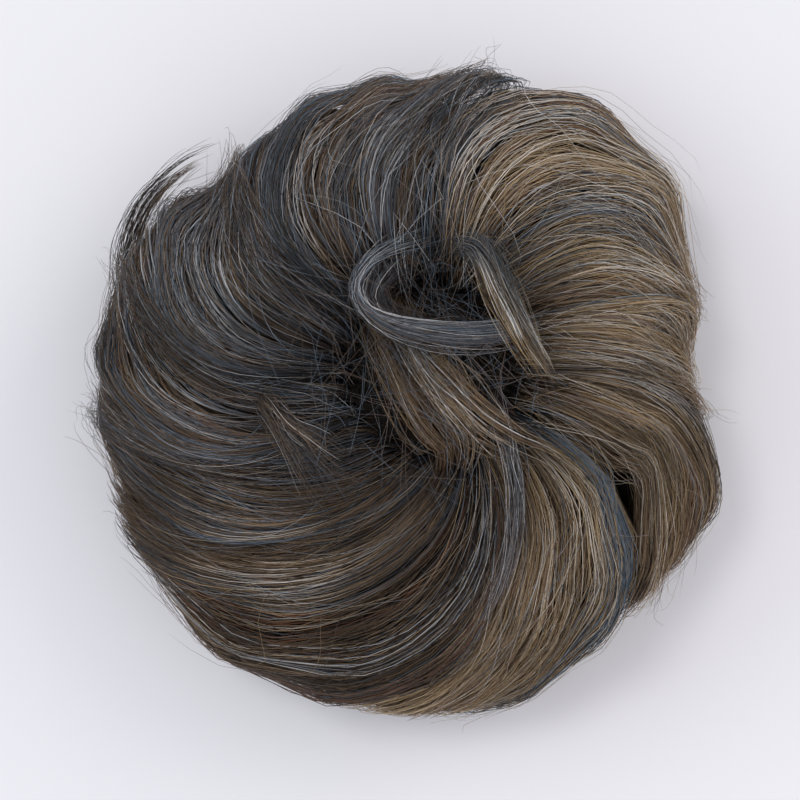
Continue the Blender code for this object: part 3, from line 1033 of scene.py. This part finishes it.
@dataclass
class LooseLock:
    """One loose lock over the middle: flattened wisps along the frame's own path, frayed at the end.

    Each row of the path is x, y, z and the lock's half width there. dye is the accent at the root, the middle
    and the tip, and gilt takes it out along one side. loose is the share of hairs that stray from the wisps.
    wisp_tones and fibre_tones are how the tone varies.
    """

    node: str
    thickness: float
    path: tuple
    family: Family
    tone: float
    dye: tuple[float, float, float]
    seed: int
    wisps: int = 9
    fibres: int = 28
    stations: int = 18
    fray: float = 0.25
    gilt: float = 0.0
    loose: float = 0.22
    name: str = "hair"
    wisp_tones: float = 0.16
    fibre_tones: float = 0.15

    def build(self, salon: Salon) -> None:
        """Make the lock's fibres.

        Args:
            salon: what all pieces share.
        """
        rng = np.random.default_rng(self.seed)
        total = self.wisps * self.fibres
        which = np.repeat(np.arange(self.wisps), self.fibres)
        reach = rng.uniform(1 - self.fray, 1.0, self.wisps)[which]
        reach = (reach - rng.uniform(0, self.fray / 2, total))[:, None]
        start = 0.22 * rng.random((total, 1)) ** 1.5
        t = np.linspace(0, 1, self.stations)[None]
        samples = start + (reach - start) * t
        table = np.array(self.path, float)
        line, half = spline(table[:, :3], samples), spline(table[:, 3:], samples)[..., 0]
        ahead = spline(table[:, :3], np.clip(samples + 0.01, 0, 1))
        behind = spline(table[:, :3], np.clip(samples - 0.01, 0, 1))
        tangent = unit(ahead - behind)
        side = unit(np.cross(tangent, np.array([0.0, 0.0, 1.0])))
        up = np.cross(side, tangent)
        lane = (rng.permutation(self.wisps) + 0.5) / self.wisps * 2 - 1
        rise = rng.uniform(-0.9, 0.9, self.wisps) * np.sqrt(1 - lane**2 * 0.8)
        shift, girth = rng.normal(0, 0.3, self.wisps), rng.uniform(0.06, 0.17, self.wisps)
        a_own, b_own = rng.normal(0, 1, total) * girth[which], rng.normal(0, 0.22, total)
        free = rng.random(total) < self.loose
        a_own = np.where(free, rng.normal(0, 0.5, total), a_own)
        a = (lane[which] + a_own)[:, None] + shift[which][:, None] * (t - 0.4)
        b = np.clip((rise[which] + b_own)[:, None] + np.where(free, 0.6, 0.0)[:, None], -1, 1.4)
        own = rng.uniform(0, 2 * math.pi, (total, 3))
        loose = np.where(free, rng.uniform(2.5, 7, total), 1.0)[:, None]
        wander = 0.2 * loose * np.sin(2 * math.pi * 0.9 * t + own[:, :1])
        wander = wander + 0.12 * np.sin(2 * math.pi * 1.9 * t + own[:, 1:2])
        across = np.clip(a, -1.3, 1.3) * half + wander
        over = b * self.thickness / 2 + 0.12 * loose * np.sin(2 * math.pi * 1.3 * t + own[:, 2:])
        over = over - 0.16 * np.abs(across) ** 1.4
        centres = line + side * across[..., None] + up * over[..., None]
        normals = unit(side * np.clip(a, -1, 1)[..., None] * 0.6 + up)
        taper = 0.35 + 0.65 * np.sin(math.pi * np.clip(t, 0.02, 0.98)) ** 0.5
        size = np.where(free, FINE_RADIUS, FIBRE_RADIUS * 0.85) * rng.uniform(0.8, 1.15, total)
        tones = self.tone + rng.normal(0, self.wisp_tones, self.wisps)[which]
        # Painted shade: fibres low in the lock are darker than those on top
        tones = tones + rng.normal(0, self.fibre_tones, total) + 0.15 * b[:, 0]
        stain = parabola(samples, (0.0, 0.5, 1.0), self.dye) + rng.normal(0, 0.22, total)[:, None]
        stain = stain - self.gilt * smooth_step(a + 0.2) * smooth_step((samples - 0.3) / 0.2)
        batch = Fibres(centres, normals, size[:, None] * taper, tones, stain)
        piece = salon.fibre_object(f"{self.node}_{self.name}", [batch], self.family)
        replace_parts(piece, self.node)


def loose_locks() -> list[LooseLock]:
    """List the locks over the middle and the one that strays off the left, some in more than one part.

    Returns:
        The locks, each with its path in millimetres from the whorl centre.
    """
    return [
        LooseLock("loop_lock", 2.2, (
            (8, 36, 44, 2.6), (0, 33, 50, 2.4), (-8, 30, 55, 1.6), (-14.5, 26, 58, 0.9),
            (-18, 20, 58.5, 0.7), (-15.5, 14.5, 58, 1.1), (-9, 10.8, 57, 1.8), (0, 8.8, 55.5, 2.4),
            (9, 8.2, 53.5, 2.5), (18, 9.2, 51, 2.4), (27, 11, 47.5, 1.9), (34, 13, 44, 1.7),
        ), Family.SILVER, 0.57, (0.0, 0.15, 0.1), 31, wisps=14, fibres=14, fray=0.2, loose=0.25),
        LooseLock("loop_lock", 3.0, (
            (6, 30, 43, 5.0), (-3, 28.5, 48, 5.0), (-10, 24.5, 52, 4.0), (-14, 18, 54, 2.5),
            (-11, 13, 53, 2.5), (-4, 9, 51, 3.5), (4, 7, 49, 4.5), (12, 6, 46, 4.5),
        ), Family.SLATE, 0.42, (0.0, 0.3, 0.5), 35, wisps=8, fibres=13, loose=0.5, name="inner_hair"),
        LooseLock("tip_lock", 3.2, (
            (-3, 26, 45, 2.0), (4, 29.5, 52, 2.6), (9, 29.5, 56.5, 2.9), (12.5, 25.5, 58.5, 3.2),
            (15.5, 19.5, 59.5, 3.3), (19, 12.5, 59.5, 3.1), (22.5, 5.5, 59, 2.7), (26, 0, 57.5, 2.1),
            (29, -5, 56, 1.4),
        ), Family.HONEY, 0.5, (1.0, 0.75, 0.0), 32, wisps=11, fibres=15, fray=0.35, gilt=1.0, loose=0.3),
        LooseLock("falling_lock", 4.0, (
            (-14, 20, 42, 5.0), (-10, 11, 47, 6.0), (-5, 1, 49.5, 7.0), (1, -9, 49.5, 7.5),
            (6, -17, 48.5, 6.0), (5, -24, 46, 4.0), (2, -30, 43.5, 2.5),
        ), Family.TAUPE, 0.47, (0.05, 0.1, 0.4), 33, wisps=16, fibres=15, fray=0.35, loose=0.32),
        LooseLock("falling_lock", 3.4, (
            (-11, 14, 44, 4.0), (-5, 5, 49, 4.5), (3, -4, 50.5, 5.0), (11, -12, 52, 4.6),
            (19, -17, 55.5, 4.0), (27, -20, 59, 3.4), (35, -25, 61.0, 2.4),
        ), Family.TAUPE, 0.46, (0.1, 0.0, 0.1), 36, wisps=10, fibres=15, fray=0.55, loose=0.4,
            name="side_hair"),
        LooseLock("vertical_lock", 2.6, (
            (12, -4, 46, 2.4), (16, -12, 50, 2.0), (18.5, -20, 54, 1.6), (19.5, -30, 58.5, 1.5),
            (18.5, -42, 60, 1.8), (14.5, -54, 57.5, 2.2), (9, -64, 50, 2.4),
        ), Family.SLATE, 0.56, (0.4, 0.3, 0.7), 34, wisps=8, fibres=11, fray=0.4, loose=0.5),
        LooseLock("curl_lower_left", 2.4, (
            (-41, -5, 58, 1.2), (-36, -11, 61.6, 2.6), (-29, -18, 63.4, 4.4), (-22, -26, 63, 6.4),
            (-16, -34, 61.5, 7.4),
        ), Family.UMBER, 0.38, (0.0, 0.3, 0.1), 38, wisps=12, fibres=12, fray=0.5, loose=0.6,
            name="crossing_hair"),
        LooseLock("curl_left_upper", 1.8, (
            (-72.5, 18, 15, 2.6), (-72.5, 27, 20, 2.6), (-70, 36, 24, 2.3), (-65, 43.5, 28, 2.1),
            (-57.5, 49.5, 32, 2.0), (-49, 53, 36, 2.2),
        ), Family.UMBER, 0.5, (0.0, 0.2, 0.0), 37, wisps=7, fibres=16, fray=0.4, loose=0.4,
            name="stray_lock"),
    ]


@dataclass
class Tangle:
    """The crossing hair in the depth of the middle, near black as painted shade, over a dished bed of matted
    hair that is dark as painted shade.

    fibres lie in the depth, and strays are the light single hairs that cross over the middle.
    """

    fibres: int = 300
    strays: int = 420
    stations: int = 14
    stray_stations: int = 10
    seed: int = 41
    bed_radius: float = 21.5
    bed_height: float = 33.0
    bed_dish: float = 4.0
    bed_half: float = 2.0
    cover_height: float = 49.0
    cover_rise: float = 11.5

    def build(self, salon: Salon) -> None:
        """Make the dished bed and the fibres that cross over it.

        Args:
            salon: what all pieces share.
        """
        shape = bmesh.new()
        bmesh.ops.create_uvsphere(shape, u_segments=40, v_segments=16, radius=1.0)
        weft = np.array([(60 * v.co.x, 60 * v.co.y, 60 * v.co.z) for v in shape.verts])
        for vert in shape.verts:
            out = vert.co.xy.length
            x, y = vert.co.x * self.bed_radius, vert.co.y * self.bed_radius
            z = self.bed_height + self.bed_dish * out * out + self.bed_half * vert.co.z
            vert.co = Vector((x, y, z)) * MM + salon.whorl
        mesh = meshed(shape, "core_tangle_bed")
        mesh.attributes.new("weft", "FLOAT_VECTOR", "POINT").data.foreach_set("vector", weft.ravel())
        # The bed takes the near black body finish, painted shade of the middle's depth
        bed = salon.place("core_tangle_bed", mesh, PAINTED_SHADE)
        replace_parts(bed, "core_tangle")

        rng = np.random.default_rng(self.seed)
        total = self.fibres
        t = np.linspace(0, 1, self.stations)[None, :, None]
        turn = rng.uniform(0, 2 * math.pi, total)
        chord = turn - rng.uniform(0.5, 2.6, total)
        start_r, end_r = rng.uniform(8, 25, total), rng.uniform(15, 27, total)
        start_z, end_z = rng.uniform(35, 44, total), rng.uniform(37, 48, total)
        start = np.stack([start_r * np.cos(turn), start_r * np.sin(turn), start_z], axis=-1)
        end = np.stack([end_r * np.cos(chord), end_r * np.sin(chord), end_z], axis=-1)
        middle = (start + end) / 2
        out = unit(middle * np.array([1, 1, 0.0]))
        middle = middle + out * rng.normal(5, 5, total)[:, None] + rng.normal(0, 1.5, (total, 3))
        centres = start[:, None] * (1 - t) ** 2 + 2 * middle[:, None] * t * (1 - t) + end[:, None] * t**2
        normals = np.broadcast_to(np.array([0.0, 0.0, 1.0]), centres.shape)
        radii = FINE_RADIUS * rng.uniform(0.7, 1.2, total)[:, None] * np.ones((1, self.stations))
        tones = rng.uniform(0.05, 0.6, total)
        batch = Fibres(centres, normals, radii, tones, np.where(rng.random(total) < 0.15, 0.7, 0.0))
        # Painted shade: the fibres in the depth take the near black shadow dyes
        piece = salon.fibre_object("core_tangle_hair", [batch], Family.SHADOW)
        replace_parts(piece, "core_tangle")
        piece = salon.fibre_object("core_tangle_stray_hair", [self.crossing(rng)], Family.SILVER)
        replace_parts(piece, "core_tangle")

    def crossing(self, rng: np.random.Generator) -> Fibres:
        """Grow the light single hairs that cross over the middle at all angles.

        Args:
            rng: the source of chance.

        Returns:
            The hairs.
        """
        total, stations = self.strays, self.stray_stations
        t = np.linspace(0, 1, stations)[None, :, None]
        spot = rng.normal(0, 15, (total, 2)) + np.array([-1.0, 4.0])
        heading = rng.normal(-0.9, 0.8, total)
        length, bow = rng.uniform(6, 26, total), rng.normal(0, 0.9, total)
        along = np.stack([np.cos(heading), np.sin(heading)], axis=-1)
        aside = np.stack([-along[:, 1], along[:, 0]], axis=-1)
        flat = spot[:, None] + along[:, None] * (t - 0.5) * length[:, None, None]
        flat = flat + aside[:, None] * bow[:, None, None] * np.sin(math.pi * t)
        reach = np.linalg.norm(flat, axis=-1, keepdims=True)
        cover = self.cover_height + self.cover_rise * smooth_step((reach - 12) / 26)
        rise, tilt = rng.uniform(0, 8, total), rng.normal(0, 1.5, total)
        height = cover + rise[:, None, None] + tilt[:, None, None] * (t - 0.5)
        centres = np.concatenate([flat, height], axis=-1)
        normals = np.broadcast_to(np.array([0.0, 0.0, 1.0]), centres.shape)
        radii = FINE_RADIUS * rng.uniform(0.45, 0.75, total)[:, None] * np.ones((1, stations))
        tones = rng.uniform(0.25, 0.7, total)
        return Fibres(centres, normals, radii, tones, np.where(rng.random(total) < 0.5, 0.5, 0.0))


@dataclass
class ElasticBand:
    """The covered elastic: a round ring with the ribs of its braided cover.

    rib is how far the ribs stand out in millimetres, and inset draws the ring in by a share of its radius.
    """

    rings: int = 160
    sides: int = 16
    rib: float = 0.18
    rib_count: int = 80
    inset: float = 0.02

    def build(self, salon: Salon) -> None:
        """Make the ring in place of the frame's plain one.

        Args:
            salon: what all pieces share.
        """
        low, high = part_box("elastic_band")
        thickness = high.z - low.z
        middle = (high.x - low.x - thickness) / 2
        shape = bmesh.new()
        made = bmesh.ops.create_circle(shape, segments=self.sides, radius=thickness / 2)
        sideways = Vector((1, 0, 0)).to_track_quat("Z", "Y").to_matrix()
        upright = Vector((0, 1, 0)).to_track_quat("X", "Z").to_matrix()
        bmesh.ops.rotate(shape, verts=made["verts"], cent=(0, 0, 0), matrix=sideways)
        bmesh.ops.rotate(shape, verts=made["verts"], cent=(0, 0, 0), matrix=upright)
        bmesh.ops.translate(shape, verts=made["verts"], vec=(middle, 0, 0))
        bmesh.ops.spin(
            shape, geom=shape.verts[:] + shape.edges[:], cent=(0, 0, 0), axis=(0, 0, 1), dvec=(0, 0, 0),
            angle=2 * math.pi, steps=self.rings, use_merge=True, use_duplicate=False,
        )
        bmesh.ops.remove_doubles(shape, verts=shape.verts, dist=1e-6)
        for vert in shape.verts:
            turn = math.atan2(vert.co.y, vert.co.x)
            core = Vector((middle * math.cos(turn), middle * math.sin(turn), 0))
            spoke = vert.co - core
            around = math.atan2(spoke.z, vert.co.xy.length - middle)
            ribs = math.sin(self.rib_count * turn + 2 * around) * math.sin(self.rib_count * turn - 2 * around)
            vert.co = core + spoke * (1 + self.rib * MM * ribs / (thickness / 2) - self.inset)
        for vert in shape.verts:
            vert.co += Vector((salon.whorl.x, salon.whorl.y, (low.z + high.z) / 2))
        bmesh.ops.recalc_face_normals(shape, faces=shape.faces)
        piece = salon.place("elastic_band_cover", meshed(shape, "elastic_band_cover"), BRAIDED)
        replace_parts(piece, "elastic_band")


@dataclass
class Studio:
    """The plain pale floor, the soft lights and the camera that looks straight down."""

    distance: float = 1.2
    image_width: float = 800.0
    pixels_per_mm: float = 4.2
    aim: tuple[float, float] = (-1.12 * MM, -1.97 * MM)
    sensor: float = 36.0

    def build(self) -> None:
        """Make floor, lights, world and camera."""
        shape = bmesh.new()
        bmesh.ops.create_grid(shape, x_segments=1, y_segments=1, size=3.0)
        mesh = meshed(shape, "floor")
        floor = bpy.data.objects.new("floor", mesh)
        # Matt coated paper, which takes a soft shadow and gives no glint
        paint = Paint("pale_paper")
        paint.shader.inputs["Base Color"].default_value = linear("EDECF1")
        paint.shine(0.9, 0.1)
        mesh.materials.append(paint.material)
        bpy.context.scene.collection.objects.link(floor)

        # The key throws the shadow down and to the right, and the sides warm the right and cool the left
        self.light("key", (-0.3, 0.24, 1.0), 15.0, 0.5, (1.0, 0.98, 0.95))
        self.light("warm_side", (0.80, 0.45, 0.60), 40.0, 0.62, (1.0, 0.94, 0.84))
        self.light("cool_side", (-0.85, 0.20, 0.60), 40.0, 0.42, (0.88, 0.95, 1.0))
        world = bpy.data.worlds.new("studio")
        world.use_nodes = True
        back = world.node_tree.nodes["Background"]
        back.inputs["Color"].default_value = linear("F4F5FA")
        back.inputs["Strength"].default_value = 0.82
        bpy.context.scene.world = world

        data = bpy.data.cameras.new("camera")
        data.sensor_width = self.sensor
        reach = self.distance - RIM_HEIGHT * MM
        data.lens = self.sensor * reach / (self.image_width / self.pixels_per_mm * MM)
        camera = bpy.data.objects.new("camera", data)
        camera.location = (*self.aim, self.distance)
        bpy.context.scene.collection.objects.link(camera)
        bpy.context.scene.camera = camera
        bpy.context.scene.view_settings.view_transform = "Standard"

    def light(self, name: str, source: tuple, spread: float, power: float, colour: tuple) -> None:
        """Add a far, soft light, which is even over the floor.

        Args:
            name: its name.
            source: the direction that it comes from.
            spread: its width in degrees, which sets how soft the shadow is.
            power: its strength.
            colour: its colour in linear light.
        """
        data = bpy.data.lights.new(name, "SUN")
        data.angle = math.radians(spread)
        data.energy = power
        data.color = colour
        lamp = bpy.data.objects.new(name, data)
        lamp.location = source
        lamp.rotation_mode = "QUATERNION"
        lamp.rotation_quaternion = (-Vector(source)).to_track_quat("-Z", "Y")
        bpy.context.scene.collection.objects.link(lamp)


def whorl_centre() -> Vector:
    """The whorl centre on the floor, which is the middle of the elastic ring."""
    low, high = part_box("elastic_band")
    return Vector(((low.x + high.x) / 2, (low.y + high.y) / 2, 0.0))


def main() -> None:
    """Build the hairpiece and its studio."""
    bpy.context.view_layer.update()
    Studio().build()
    salon = Salon(whorl_centre())
    for curl in curls():
        curl.build(salon)
    for lock in loose_locks():
        lock.build(salon)
    Tangle().build(salon)
    ElasticBand().build(salon)
    log.info("triangles in all: %d", salon.triangles)


if __name__ == "__main__":
    main()
